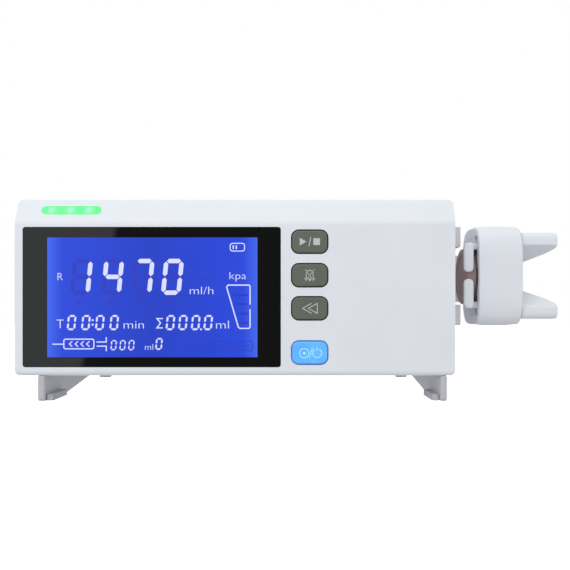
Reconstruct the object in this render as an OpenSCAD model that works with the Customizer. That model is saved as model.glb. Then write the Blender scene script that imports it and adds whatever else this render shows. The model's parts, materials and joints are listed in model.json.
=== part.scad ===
// Syringe infusion pump, standing on two skid feet.
// Positions inside the modules are in the case's own frame: X from the middle of the
// case, Y back from its front face, Z up from the ground. in_case() moves that frame so
// that the origin is on the ground under the middle of the whole pump.

/* [Case] */
// Width of the case
case_w = 246; // [244:0.5:248]
// Depth of the case, front face to rear face
case_d = 152; // [151:0.5:156]
// Height of the underside of the case above the ground
case_z0 = 14.3; // [13:0.1:14.5]
// Height of the top of the case above the ground
case_z1 = 113.9; // [112:0.1:115]
// Thickness of the moulded walls
wall = 2.5; // [2:0.1:2.8]
// Depth of the front shell, which holds the display
front_d = 24; // [23:0.5:24]
// Set-back of the top edge, which makes the sloped light strip
strip_back = 7; // [4:0.5:8]
// Height of the sloped light strip
strip_h = 13.7; // [11:0.1:14]

/* [Syringe drive] */
// Height of the syringe's axis above the ground
axis_z = 71.5; // [70.5:0.1:72]
// Distance of the syringe's axis behind the front face
axis_d = 45; // [45:0.1:45.5]
// Radius of the round-bottomed syringe trough
trough_r = 17; // [16:0.1:17]
// Outer radius of the drive tube that carries the pusher head
tube_r = 9; // [8:0.1:9]
// Distance of the drive tube's axis behind the front face
tube_d = 86; // [85:0.1:87]
// Distance of the lead screw's axis behind the front face
screw_d = 112; // [111:0.1:113]
// Outer radius of the lead screw's thread
screw_r = 5; // [4:0.1:5]
// Pitch of the lead screw's thread
screw_pitch = 3; // [3:0.5:5]

/* [Pusher head] */
// Left face of the head, from the middle of the case
head_x0 = 142.2; // [142:0.1:144]
// Right face of the head
head_x1 = 167.9; // [167:0.1:168.5]
// Reach of the grip tips, which ends the pump on the right
grip_x1 = 190; // [189:0.5:192]
// Height of the head
head_h = 58.8; // [58:0.1:60]
// Radius of the plate that pushes the plunger
push_r = 17; // [15:0.1:17]

/* [Keys] */
// Width of a key
key_w = 20.4; // [19:0.1:21]
// Height of a key
key_h = 13.2; // [12:0.1:13.5]
// How far a key stands out of the front face
key_proud = 0.6; // [0.4:0.1:0.8]
// Gap around a key
key_gap = 0.3; // [0.25:0.05:0.4]

/* [Hidden] */
$fn = 48;

half_w = case_w / 2;
eps = 0.01;
past = 1; // how far a cutter runs past the face it cuts
rear_d = case_d - wall; // front side of the rear cover
case_x = -(grip_x1 - half_w) / 2; // middle of the case from the pump's origin
front_y = (key_proud - case_d) / 2; // front face from the pump's origin
fold_z = case_z1 - strip_h;
in_z0 = case_z0 + wall;
in_z1 = case_z1 - wall;
in_w = case_w - 2 * wall;
corner_r = 3;
edge_r = 3; // rounding of the front shell's top and bottom edges
fold_r = 6; // rounding where the front face meets the sloped strip

// display
win = [-118.6, 25.6, 19.2, 97.6]; // x0, x1, z0, z1 of the glass
win_t = 1.6;
lcd = [-104.9, 12.5, 24.8, 91.7]; // x0, x1, z0, z1 of the picture
lcd_rim = 3;
lcd_t = 2.2;
light_t = 4;
frame_t = 1;
board_t = 1.6;
lcd_y = wall;
light_y = lcd_y + lcd_t;
frame_y = light_y + light_t;
board_y = 12.5;
post_r = 2.5;

// keys
key_x = 41.7;
key_z = [89.3, 70.6, 52.1, 27.4];
key_r = 4.2;
key_skirt = 1.2;
key_in = 5; // rear end of a key's stem
key_travel = 0.8;
switch_y = key_in + key_travel + 0.2;
key_board_y = 9.5;

// light on the sloped strip
lens_x = [-109.2, -75.3];
lens_h = 5.8;
lens_t = 2.6;
slope_a = atan(strip_back / strip_h);

// trough
trough_x0 = -25;
channel_r = 6;

// feet
foot_t = 3.7;
foot_x = [-110.7, 115.1];
pad_w = 4;
pad_h = 3.5;
rear_foot_y = [141, 150];

// drive
gear_teeth = 32;
pinion_teeth = 12;
tooth_module = 1;
gear_gap = (gear_teeth + pinion_teeth) * tooth_module / 2;
gear_x = [-83, -75];
motor_x = [-119, -88.5];
motor_w = 28;
motor_z = axis_z - gear_gap;
plate_t = 3;
plate_x = [-88.5, -72, 106];
frame_w = [74, 126];
frame_z = [30, 96];
bearing_r = 8;
rod_r = 3;
rod_z = [55, 88];
rod_d = 99;
run = 0.05; // radial clearance of a running fit
clear = 0.3;
car_x = [-44, -20];
car_w = [76, 122];
car_z = [50, 94];
nut_x = [-38, -26];
nut_w = 12;
nut_z0 = 57;
tube_x = [-32, 156];
tube_in_r = 6;
bush_r = 12;
bush_x = [half_w - 6, half_w + 1.5];

// head
head_d = [22, 65];
head_power = 4; // 2 is an ellipse, more is squarer
recess_r = 18.5; // round recess that the pressure plate stands in
arm_z = [axis_z - 15.5, axis_z + 15.5];
arm_d1 = 99;
cover_t = 2.5;
push_x = 136.8;
pivot = [158, 14.5]; // x, and height above the syringe's axis
pivot_r = 2;
pin_in = 2; // the pivot pins end this far inside the head's front and rear
grip_slot = [3.6, 25.5]; // edges of a grip's opening in the head, from the syringe's axis
grip_d = [27, 57];
claw_d = [24.8, 27.7];
claw_root_d = [29, 34];
claw_x = [133.9, 139.6];

// barrel clamp
clamp_x = [15, 45];
clamp_pin_d = 68.2;
clamp_pin_z = 106.5;
clamp_pin_r = 1.5;
knuckle_r = 4;

cover_screw_x = half_w - 6.5;
cover_screw_z = [case_z0 + 6.5, case_z1 - 6.5];
bolt_x = 30;
bolt_z = 63;
bolt_gap = 50;
bolt_r = 2.1;

// ---- shared shapes ----

module in_case() translate([case_x, front_y, 0]) children();

module slab(x, y, z)
    translate([x[0], y[0], z[0]]) cube([x[1] - x[0], y[1] - y[0], z[1] - z[0]]);

module bar_x(x, y, z, r)
    translate([x[0], y, z]) rotate([0, 90, 0]) cylinder(h = x[1] - x[0], r = r);

module bar_y(x, y, z, r)
    translate([x, y[0], z]) rotate([-90, 0, 0]) cylinder(h = y[1] - y[0], r = r);

module bar_z(x, y, z, r)
    translate([x, y, z[0]]) cylinder(h = z[1] - z[0], r = r);

module round_rect(w, h, r) {
    square([w - 2 * r, h], center = true);
    square([w, h - 2 * r], center = true);
    for (sx = [-1, 1], sy = [-1, 1])
        translate([sx * (w / 2 - r), sy * (h / 2 - r)]) circle(r);
}

// a rounded rectangle seen from the front, between two depths
module front_plate(x, z, y, r)
    translate([(x[0] + x[1]) / 2, y[1], (z[0] + z[1]) / 2])
        rotate([90, 0, 0]) linear_extrude(y[1] - y[0])
            round_rect(x[1] - x[0], z[1] - z[0], r);

// an outline of depth and height, seen from the side, between two X positions
module side_plate(x)
    translate([x[0], 0, 0]) rotate([90, 0, 90]) linear_extrude(x[1] - x[0]) children();

// a close-wound or open coil spring along Z
module coil(r, wire, turns, height) {
    sides = 8;
    steps = 16;
    rings = turns * steps;
    function at(i, k) =
        let (a = 360 * i / steps, b = 360 * k / sides, q = r + wire * cos(b))
        [q * cos(a), q * sin(a), wire + (height - 2 * wire) * i / rings + wire * sin(b)];
    points = [for (i = [0:rings], k = [0:sides - 1]) at(i, k)];
    skin = [for (i = [0:rings - 1], k = [0:sides - 1])
        [i * sides + k, i * sides + (k + 1) % sides,
         (i + 1) * sides + (k + 1) % sides, (i + 1) * sides + k]];
    first = [for (k = [sides - 1:-1:0]) k];
    last = [for (k = [0:sides - 1]) rings * sides + k];
    polyhedron(points, concat([first], skin, [last]));
}

module spur_gear(teeth, width, bore_r) {
    pitch_r = teeth * tooth_module / 2;
    root_r = pitch_r - 1.2 * tooth_module;
    tip_r = pitch_r + 0.8 * tooth_module;
    root_w = 0.85 * tooth_module;
    tip_w = 0.32 * tooth_module;
    rotate([0, 90, 0]) difference() {
        union() {
            cylinder(h = width, r = root_r);
            for (i = [0:teeth - 1])
                rotate(360 * i / teeth) linear_extrude(width)
                    polygon([[root_r - 0.5, -root_w], [tip_r, -tip_w], [tip_r, tip_w], [root_r - 0.5, root_w]]);
        }
        translate([0, 0, -past]) cylinder(h = width + 2 * past, r = bore_r);
    }
}

// ---- housing ----

// points along an arc, both ends included
function arc(centre, r, from, to, steps = 8) =
    [for (i = [0:steps]) let (a = from + (to - from) * i / steps) centre + r * [cos(a), sin(a)]];

// the case seen from the side: rounded lip, rounded fold, sloped strip, rounded top edge
module shell_outline(inset, back) {
    tangent = edge_r * tan((90 - slope_a) / 2);
    polygon(concat(
        arc([edge_r, case_z0 + edge_r], edge_r - inset, 270, 180),
        arc([fold_r, fold_z - fold_r * tan(slope_a / 2)], fold_r - inset, 180, 180 - slope_a),
        arc([strip_back + tangent, case_z1 - edge_r], edge_r - inset, 180 - slope_a, 90),
        [[back, case_z1 - inset], [back, case_z0 + inset]]
    ));
}

module rounded_front(y)
    front_plate([-half_w, half_w], [case_z0, case_z1], y, corner_r);

module key_hole(z)
    front_plate([key_x - key_w / 2 - key_gap, key_x + key_w / 2 + key_gap],
        [z - key_h / 2 - key_gap, z + key_h / 2 + key_gap], [-past, wall + past], key_r + key_gap);

// the lens lies in the plane of the sloped strip
module on_slope()
    translate([0, strip_back / 2, fold_z + strip_h / 2 + 0.3]) rotate([-slope_a, 0, 0]) children();

module lens_shape(grow, y)
    on_slope() front_plate([lens_x[0] - grow, lens_x[1] + grow],
        [-lens_h / 2 - grow, lens_h / 2 + grow], y, lens_h / 2 + grow - eps);

module front_shell() color("gainsboro") in_case() difference() {
    union() {
        difference() {
            intersection() {
                side_plate([-half_w, half_w]) shell_outline(0, front_d);
                rounded_front([-past, front_d + past]);
            }
            side_plate([-in_w / 2, in_w / 2]) shell_outline(wall, front_d + past);
        }
        // posts that carry the main board
        for (x = [-113, 22], z = [24, 92])
            bar_y(x, [wall - eps, board_y], z, post_r);
        // posts that carry the key board
        for (x = [30, 53.5], z = [38.5, 98])
            bar_y(x, [wall - eps, key_board_y], z, 1.5);
    }
    front_plate([win[0], win[1]], [win[2], win[3]], [-past, win_t], 1.6);
    slab([lcd[0], lcd[1]], [-past, wall + past], [lcd[2], lcd[3]]);
    for (z = key_z) key_hole(z);
    lens_shape(0.02, [-past, 2 * wall]);
}

// a round-bottomed gutter, open at the top
module gutter(x, r, top) {
    bar_x(x, axis_d, axis_z, r);
    slab(x, [axis_d - r, axis_d + r], [axis_z, top]);
}

// the syringe's trough, and the narrower channel for its line; grow makes their walls
module trough(grow, over) {
    gutter([trough_x0 - grow, half_w + over], trough_r + grow, case_z1 + over);
    gutter([-half_w - over, trough_x0], channel_r + grow, case_z1 + over);
}

battery_x = [-84, 26];
battery_y = [27.5, 62.5];

module main_shell() color("lightgray") in_case() difference() {
    union() {
        difference() {
            intersection() {
                slab([-half_w, half_w], [front_d, rear_d], [case_z0, case_z1]);
                rounded_front([front_d - past, rear_d + past]);
            }
            difference() {
                slab([-in_w / 2, in_w / 2], [front_d - past, rear_d + past], [in_z0, in_z1]);
                trough(wall, 0);
            }
        }
        // pocket around the clamp's hinge
        slab([clamp_x[0] - wall, clamp_x[1] + wall], [axis_d + trough_r + eps, 76.5], [96, case_z1 - eps]);
        // bosses for the rear cover's screws
        for (sx = [-1, 1], z = cover_screw_z)
            bar_y(sx * cover_screw_x, [rear_d - 20, rear_d], z, 4.5);
        // feet that carry the drive frame
        for (x = [-60, 95], y = [frame_w[0] + 6, frame_w[1] - 6])
            bar_z(x, y, [in_z0 - eps, frame_z[0]], 4);
        // saddle under the drive tube's bush
        bar_x([bush_x[0], half_w], tube_d, axis_z, bush_r + 3);
    }
    trough(0, past);
    slab([clamp_x[0], clamp_x[1]], [axis_d, 74], [98.5, case_z1 + past]);
    bar_x([clamp_x[0] - wall - past, clamp_x[1] + wall + past], clamp_pin_d, clamp_pin_z, clamp_pin_r);
    bar_x([bush_x[0] - past, half_w + past], tube_d, axis_z, bush_r);
    slab(battery_x, battery_y, [case_z0 - past, in_z0 + past]);
    for (sx = [-1, 1], z = cover_screw_z)
        bar_y(sx * cover_screw_x, [rear_d - 12, rear_d + past], z, 1.5);
    for (x = [-60, 95], y = [frame_w[0] + 6, frame_w[1] - 6])
        bar_z(x, y, [frame_z[0] - 8, frame_z[0] + past], 1.5);
}

inlet_x = -92;
inlet_z = 40;
inlet_w = 28;
inlet_h = 21;
port_x = -52;
stud_x = -70;
grille_x = -88;
grille_z = 84;

module rear_cover() color("lightgray") in_case() difference() {
    union() {
        rounded_front([rear_d, case_d]);
        for (sx = [-1, 1], sz = [-1, 1])
            bar_y(bolt_x + sx * bolt_gap / 2, [rear_d - 2, rear_d + eps], bolt_z + sz * bolt_gap / 2, 5);
    }
    front_plate([inlet_x - inlet_w / 2, inlet_x + inlet_w / 2],
        [inlet_z - inlet_h / 2, inlet_z + inlet_h / 2], [rear_d - past, case_d + past], 2);
    front_plate([port_x - 9, port_x + 9], [inlet_z - 6, inlet_z + 6], [rear_d - past, case_d + past], 1);
    bar_y(stud_x, [rear_d - past, case_d + past], inlet_z, 3);
    for (i = [-3:3])
        front_plate([grille_x - 13 + abs(i), grille_x + 13 - abs(i)],
            [grille_z + 4 * i - 0.9, grille_z + 4 * i + 0.9], [rear_d - past, case_d + past], 0.85);
    for (sx = [-1, 1], sz = [-1, 1])
        bar_y(bolt_x + sx * bolt_gap / 2, [rear_d - 3, case_d + past], bolt_z + sz * bolt_gap / 2, bolt_r);
    for (sx = [-1, 1], z = cover_screw_z) {
        bar_y(sx * cover_screw_x, [rear_d - past, case_d + past], z, 1.6);
        bar_y(sx * cover_screw_x, [case_d - 1.2, case_d + past], z, 3.1);
    }
}

module battery_cover() color("silver") in_case() difference() {
    slab([battery_x[0] + 0.2, battery_x[1] - 0.2], [battery_y[0] + 0.2, battery_y[1] - 0.2], [case_z0 + 0.2, in_z0]);
    for (i = [0:4])
        slab([battery_x[0] + 8, battery_x[0] + 20], [38 + 3 * i, 39.4 + 3 * i], [case_z0 - past, case_z0 + 0.8]);
}

// one skid: flat under the front, then rising slowly to a short rear foot
module foot_outline() polygon([
    [1.5, case_z0], [1.5, 1.2], [3, 0], [49, 0], [101, 5.2], [106, 10],
    [rear_foot_y[0], 10], [rear_foot_y[0] + 1, 0], [rear_foot_y[1], 0], [rear_foot_y[1], case_z0]
]);

module left_foot() color("lightgray") in_case()
    side_plate([foot_x[0], foot_x[0] + foot_t]) foot_outline();

module right_foot() color("lightgray") in_case()
    side_plate([foot_x[1], foot_x[1] + foot_t]) foot_outline();

module foot_pad(x, y)
    translate([(x[0] + x[1]) / 2, (y[0] + y[1]) / 2, 0])
        linear_extrude(pad_h) round_rect(x[1] - x[0], y[1] - y[0], 1.2);

module foot_pads() color("dimgray") in_case()
    for (x = [foot_x[0] + foot_t, foot_x[1] - pad_w], y = [[5, 33], [142.5, 149.5]])
        foot_pad([x, x + pad_w], y);

module flange_ear(z)
    difference() {
        union() {
            slab([half_w, half_w + 9.5], [28, 31], z);
            slab([half_w + 6.7, half_w + 9.5], [28, 42], z);
        }
        // the ear's inner lip is bevelled to guide the flange in
        translate([half_w + 6.7, 42, (z[0] + z[1]) / 2]) rotate([0, 0, 45])
            cube([2, 2, z[1] - z[0] + 2 * past], center = true);
    }

module flange_ears() color("gainsboro") in_case() {
    flange_ear([88.4, 100.5]);
    flange_ear([41.8, 54.2]);
}

module cover_screw(x, z, y) {
    bar_y(x, [y - 11, y - 1.2], z, 1.5);
    difference() {
        bar_y(x, [y - 1.2, y], z, 2.9);
        slab([x - 2, x + 2], [y - 0.7, y + past], [z - 0.4, z + 0.4]);
        slab([x - 0.4, x + 0.4], [y - 0.7, y + past], [z - 2, z + 2]);
    }
}

module cover_screws() color("silver") in_case()
    for (sx = [-1, 1], z = cover_screw_z) cover_screw(sx * cover_screw_x, z, case_d);

// ---- display and electronics ----

module display_window() color("black", 0.9) in_case()
    front_plate([win[0] + 0.1, win[1] - 0.1], [win[2] + 0.1, win[3] - 0.1], [0, win_t], 1.5);

module lcd_panel() color("royalblue") in_case()
    slab([lcd[0] - lcd_rim, lcd[1] + lcd_rim], [lcd_y, light_y], [lcd[2] - lcd_rim, lcd[3] + lcd_rim]);

module lcd_backlight() color("white") in_case()
    slab([lcd[0] - lcd_rim, lcd[1] + lcd_rim], [light_y, frame_y], [lcd[2] - lcd_rim, lcd[3] + lcd_rim]);

module lcd_frame() color("silver") in_case() difference() {
    union() {
        slab([lcd[0] - lcd_rim, lcd[1] + lcd_rim], [frame_y, frame_y + frame_t], [lcd[2] - lcd_rim, lcd[3] + lcd_rim]);
        for (x = [lcd[0], lcd[1]], z = [lcd[2] + 4, lcd[3] - 4])
            bar_y(x, [frame_y, board_y], z, 2.5);
    }
    slab([lcd[0] + 12, lcd[1] - 12], [frame_y - past, frame_y + 2 * frame_t], [lcd[2] + 10, lcd[3] - 10]);
}

module main_board() color("darkgreen") in_case() {
    chip_y = [board_y + board_t - eps, board_y + board_t + 2];
    slab([-117, 26], [board_y, board_y + board_t], [20, 97]);
    slab([-60, -40], chip_y, [50, 70]);
    slab([-20, -8], chip_y, [60, 72]);
    for (i = [0:5]) slab([-104 + 9 * i, -99 + 9 * i], chip_y, [28, 34]);
    slab([0, 18], [chip_y[0], chip_y[0] + 5], [24, 30]);
    for (x = [-95, -84]) bar_y(x, [chip_y[0], chip_y[0] + 6], 82, 4);
}

module key_board() color("darkgreen") in_case() {
    difference() {
        slab([28, 56], [key_board_y, key_board_y + board_t], [19, 99]);
        for (x = [30, 53.5], z = [38.5, 98]) bar_y(x, [key_board_y - past, key_board_y + 3], z, 0.8);
    }
    for (z = key_z) {
        slab([key_x - 3, key_x + 3], [switch_y + 1, key_board_y + eps], [z - 3, z + 3]);
        bar_y(key_x, [switch_y, switch_y + 1 + eps], z, 1.7);
    }
}

module key_body(z) {
    front_plate([key_x - key_w / 2, key_x + key_w / 2], [z - key_h / 2, z + key_h / 2], [-key_proud, wall], key_r);
    front_plate([key_x - key_w / 2 - key_skirt, key_x + key_w / 2 + key_skirt],
        [z - key_h / 2 - key_skirt, z + key_h / 2 + key_skirt], [wall + 0.3, wall + 1.2], key_r);
    front_plate([key_x - 6, key_x + 6], [z - 4, z + 4], [wall - eps, key_in], 1.5);
}

module start_key() color("dimgray") in_case() key_body(key_z[0]);
module mute_key() color("dimgray") in_case() key_body(key_z[1]);
module purge_key() color("dimgray") in_case() key_body(key_z[2]);
module power_key() color("deepskyblue") in_case() key_body(key_z[3]);

module status_lens() color("springgreen", 0.8) in_case() lens_shape(0, [0, lens_t]);

module status_led_board() color("darkgreen") in_case() on_slope() {
    slab([lens_x[0] - 4, lens_x[1] + 4], [4.4, 5.4], [-4, 2]);
    for (x = [-103, -93.5, -83.5]) slab([x - 1.5, x + 1.5], [lens_t, 4.4 + eps], [-1.5, 1.5]);
}

module battery_pack() color("steelblue") in_case() {
    pack_y = [30, 60];
    for (i = [0:4])
        bar_x([battery_x[0] + 2 + 20.8 * i, battery_x[0] + 22 + 20.8 * i], 37.5, 31.5, 7.4);
    for (i = [0:4])
        bar_x([battery_x[0] + 2 + 20.8 * i, battery_x[0] + 22 + 20.8 * i], 52.5, 31.5, 7.4);
    slab([battery_x[0] + 1, battery_x[1] - 3], pack_y, [in_z0, 24.6]);
}

module power_supply() color("darkgreen") in_case() {
    board = [rear_d - 6, rear_d - 6 + board_t];
    slab([-30, 100], board, [20, 100]);
    // legs that stand on the floor of the shell
    for (x = [-26, 92]) slab([x, x + 4], board, [in_z0, 20 + eps]);
    slab([60, 92], [rear_d - 20, board[0] + eps], [26, 54]);
    for (i = [0:2]) bar_y(-10 + 18 * i, [rear_d - 19, board[0] + eps], 36, 6.5);
    slab([-20, 30], [rear_d - 14, board[0] + eps], [70, 90]);
}

module mains_inlet() color("black") in_case() difference() {
    union() {
        front_plate([inlet_x - inlet_w / 2 + 0.1, inlet_x + inlet_w / 2 - 0.1],
            [inlet_z - inlet_h / 2 + 0.1, inlet_z + inlet_h / 2 - 0.1], [rear_d - 21, case_d], 2);
        front_plate([inlet_x - inlet_w / 2 - 2, inlet_x + inlet_w / 2 + 2],
            [inlet_z - inlet_h / 2 - 2, inlet_z + inlet_h / 2 + 2], [rear_d - 2, rear_d], 2);
    }
    front_plate([inlet_x - 12, inlet_x + 12], [inlet_z - 8, inlet_z + 8], [case_d - 17, case_d + past], 3);
}

module inlet_pins() color("silver") in_case()
    for (p = [[-7, 1.5], [0, -2.5], [7, 1.5]])
        slab([inlet_x + p[0] - 1, inlet_x + p[0] + 1], [case_d - 17, case_d - 3], [inlet_z + p[1] - 2, inlet_z + p[1] + 2]);

module data_port() color("black") in_case() difference() {
    front_plate([port_x - 8.9, port_x + 8.9], [inlet_z - 5.9, inlet_z + 5.9], [rear_d - 14, case_d], 1);
    front_plate([port_x - 6.5, port_x + 6.5], [inlet_z - 4, inlet_z + 4], [case_d - 10, case_d + past], 0.8);
}

module earth_stud() color("silver") in_case() {
    bar_y(stud_x, [rear_d - 8, case_d], inlet_z, 3);
    bar_y(stud_x, [rear_d - 5, rear_d], inlet_z, 5);
}

module speaker() color("dimgray") in_case() {
    bar_y(grille_x, [rear_d - 3, rear_d], grille_z, 17);
    bar_y(grille_x, [rear_d - 9, rear_d - 3 + eps], grille_z, 9);
}

// ---- drive ----

module stepper_motor() color("dimgray") in_case() difference() {
    front = motor_x[1];
    union() {
        side_plate(motor_x) translate([screw_d, motor_z]) round_rect(motor_w, motor_w, 3);
        bar_x([front - eps, front + 1.5], screw_d, motor_z, 8);
    }
    bar_x([front - 12, front + 2], screw_d, motor_z, 2.5 + run);
}

module motor_pinion() color("goldenrod") in_case() {
    translate([gear_x[0], screw_d, motor_z]) rotate([180 / pinion_teeth, 0, 0])
        spur_gear(pinion_teeth, gear_x[1] - gear_x[0], 2.5);
    bar_x([motor_x[1] - 11, gear_x[1] + 1], screw_d, motor_z, 2.5 + eps);
}

module screw_gear() color("gainsboro") in_case() difference() {
    translate([gear_x[0], screw_d, axis_z])
        spur_gear(gear_teeth, gear_x[1] - gear_x[0], 4);
    for (i = [0:5])
        translate([0, screw_d, axis_z]) rotate([60 * i, 0, 0])
            bar_x([gear_x[0] - past, gear_x[1] + past], 0, 9, 2.6);
}

module lead_screw() color("silver") in_case() {
    thread_x = [plate_x[1] + plate_t + 3, plate_x[2] - 3];
    core_r = screw_r - 1;
    rings = floor((thread_x[1] - thread_x[0]) / screw_pitch);
    translate([thread_x[0], screw_d, axis_z]) rotate([0, 90, 0]) rotate_extrude()
        polygon(concat([[0, 0]],
            [for (i = [0:rings - 1]) each [
                [core_r, i * screw_pitch], [screw_r, (i + 0.35) * screw_pitch],
                [screw_r, (i + 0.65) * screw_pitch]]],
            [[core_r, rings * screw_pitch], [0, rings * screw_pitch]]));
    bar_x([gear_x[0], thread_x[0] + eps], screw_d, axis_z, 4);
    bar_x([thread_x[0] + rings * screw_pitch - eps, plate_x[2] + plate_t + 1], screw_d, axis_z, 4);
}

module bearing(x) difference() {
    bar_x([x, x + plate_t], screw_d, axis_z, bearing_r);
    bar_x([x - past, x + plate_t + past], screw_d, axis_z, 4 + run);
}

module screw_bearings() color("silver") in_case() {
    bearing(plate_x[1]);
    bearing(plate_x[2]);
}

module drive_frame() color("silver") in_case() difference() {
    union() {
        slab([plate_x[0], plate_x[2] + plate_t], frame_w, [frame_z[0], frame_z[0] + plate_t]);
        slab([plate_x[0], plate_x[0] + plate_t], frame_w, [frame_z[0], 64.5]);
        for (x = [plate_x[1], plate_x[2]]) slab([x, x + plate_t], frame_w, frame_z);
    }
    bar_x([plate_x[0] - past, plate_x[0] + plate_t + past], screw_d, motor_z, 8.1);
    for (x = [plate_x[1], plate_x[2]])
        bar_x([x - past, x + plate_t + past], screw_d, axis_z, bearing_r);
    for (x = [plate_x[1], plate_x[2]], z = rod_z)
        bar_x([x - past, x + plate_t + past], rod_d, z, rod_r);
    bar_x([plate_x[2] - past, plate_x[2] + plate_t + past], tube_d, axis_z, tube_r + 1);
    for (x = [-60, 95], y = [frame_w[0] + 6, frame_w[1] - 6])
        bar_z(x, y, [frame_z[0] - past, frame_z[0] + plate_t + past], 1.7);
}

module guide_rods() color("silver") in_case()
    for (z = rod_z) bar_x([plate_x[1], plate_x[2] + plate_t], rod_d, z, rod_r);

module nut_carriage() color("slategray") in_case() difference() {
    slab(car_x, car_w, car_z);
    for (z = rod_z) bar_x([car_x[0] - past, car_x[1] + past], rod_d, z, rod_r + run);
    bar_x([car_x[0] - past, car_x[1] + past], screw_d, axis_z, screw_r + clear);
    bar_x([tube_x[0], car_x[1] + past], tube_d, axis_z, tube_r);
    bar_x([car_x[0] - past, car_x[1]], tube_d, axis_z, rod_r + clear);
    slab([nut_x[0] - clear, nut_x[1] + clear], [screw_d - nut_w / 2 - clear, screw_d + nut_w / 2 + clear],
        [car_z[0] + 2, axis_z]);
}

module half_nut() color("goldenrod") in_case() difference() {
    slab(nut_x, [screw_d - nut_w / 2, screw_d + nut_w / 2], [nut_z0, axis_z - 0.5]);
    bar_x([nut_x[0] - past, nut_x[1] + past], screw_d, axis_z, screw_r + clear);
}

module half_nut_spring() color("silver") in_case()
    translate([(nut_x[0] + nut_x[1]) / 2, screw_d, car_z[0] + 2]) coil(3.5, 0.4, 3, nut_z0 - car_z[0] - 2);

module drive_tube() color("silver") in_case() difference() {
    bar_x(tube_x, tube_d, axis_z, tube_r);
    bar_x([tube_x[0] - past, tube_x[1] + past], tube_d, axis_z, tube_in_r);
}

module tube_bush() color("ivory") in_case() difference() {
    bar_x([bush_x[0], half_w], tube_d, axis_z, bush_r);
    bar_x([bush_x[0] - past, half_w + past], tube_d, axis_z, tube_r + run);
}

module tube_seal() color("dimgray") in_case() difference() {
    bar_x([half_w, half_w + 3], tube_d, axis_z, bush_r + 1);
    bar_x([half_w - past, half_w + 3 + past], tube_d, axis_z, tube_r + run);
}

module release_rod() color("silver") in_case()
    bar_x([car_x[0] + 3, 152], tube_d, axis_z, rod_r);

module frame_screws() color("silver") in_case()
    for (x = [-60, 95], y = [frame_w[0] + 6, frame_w[1] - 6]) {
        bar_z(x, y, [frame_z[0] - 7, frame_z[0] + plate_t], 1.5);
        bar_z(x, y, [frame_z[0] + plate_t, frame_z[0] + plate_t + 2], 2.8);
    }

// ---- pusher head ----

function squarish(v) = sign(v) * pow(abs(v), 2 / head_power);

// the head seen from the side: an oval with flattened sides
module head_outline(inset, y, x) {
    half = [(y[1] - y[0]) / 2 - inset, head_h / 2 - inset];
    side_plate(x) translate([(y[0] + y[1]) / 2, axis_z])
        polygon([for (a = [0:6:354]) [half[0] * squarish(cos(a)), half[1] * squarish(sin(a))]]);
}

module head_housing() color("gainsboro") in_case() difference() {
    union() {
        difference() {
            head_outline(0, head_d, [head_x0, head_x1 - cover_t]);
            head_outline(wall, head_d, [head_x0 + wall, head_x1]);
        }
        // arm that reaches back to the drive tube
        difference() {
            slab([head_x0, head_x1 - cover_t], [head_d[1] - wall, arm_d1], arm_z);
            slab([head_x0 + wall, head_x1], [head_d[1] - 2 * wall, tube_d - tube_r - 2], [arm_z[0] + wall, arm_z[1] - wall]);
        }
        // bosses for the pivot pins
        for (s = [-1, 1], y = [[head_d[0] + wall - eps, grip_d[0] - clear], [grip_d[1] + 0.5, head_d[1] - wall + eps]])
            bar_y(pivot[0], y, axis_z + s * pivot[1], 3.5);
    }
    bar_x([head_x0 - past, tube_x[1]], tube_d, axis_z, tube_r);
    slab([tube_x[1] - 6, tube_x[1]], [tube_d - tube_r - 4, tube_d], [axis_z - 4, axis_z + 4]);
    bar_x([head_x0 - past, head_x0 + wall + past], axis_d, axis_z, recess_r);
    // windows that the claws reach through
    for (s = [0, 1]) translate([0, 0, 2 * axis_z * s]) mirror([0, 0, s])
        slab([head_x0 - past, head_x0 + wall + past], [claw_root_d[0] - 0.5, claw_root_d[1] + 1],
            [axis_z + 12, axis_z + 23.5]);
    for (s = [-1, 1])
        bar_y(pivot[0], [head_d[0] + pin_in, head_d[1] - pin_in], axis_z + s * pivot[1], pivot_r);
}

module head_cover() color("gainsboro") in_case() difference() {
    union() {
        head_outline(0, head_d, [head_x1 - cover_t, head_x1]);
        slab([head_x1 - cover_t, head_x1], [head_d[1] - 2 * wall, arm_d1], arm_z);
    }
    for (s = [-1, 1]) intersection() {
        slab([head_x1 - cover_t - past, head_x1 + past], [grip_d[0] - 0.5, grip_d[1] + 0.5],
            [axis_z + min(s * grip_slot[0], s * grip_slot[1]), axis_z + max(s * grip_slot[0], s * grip_slot[1])]);
        head_outline(wall, head_d, [head_x1 - cover_t - past, head_x1 + past]);
    }
}

module pressure_plate() color("rosybrown") in_case() difference() {
    union() {
        bar_x([push_x, head_x0], axis_d, axis_z, push_r);
        bar_x([head_x0 - eps, head_x0 + wall], axis_d, axis_z, 5);
    }
    bar_x([push_x - past, push_x + 0.8], axis_d, axis_z, push_r - 4);
}

module load_cell() color("silver") in_case() {
    slab([head_x0 + wall, head_x0 + wall + 9], [37, 53], [axis_z - 5, axis_z + 5]);
    slab([head_x0 + wall + 9 - eps, head_x0 + wall + 10.5], [41, 49], [axis_z - 3, axis_z + 3]);
}

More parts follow.
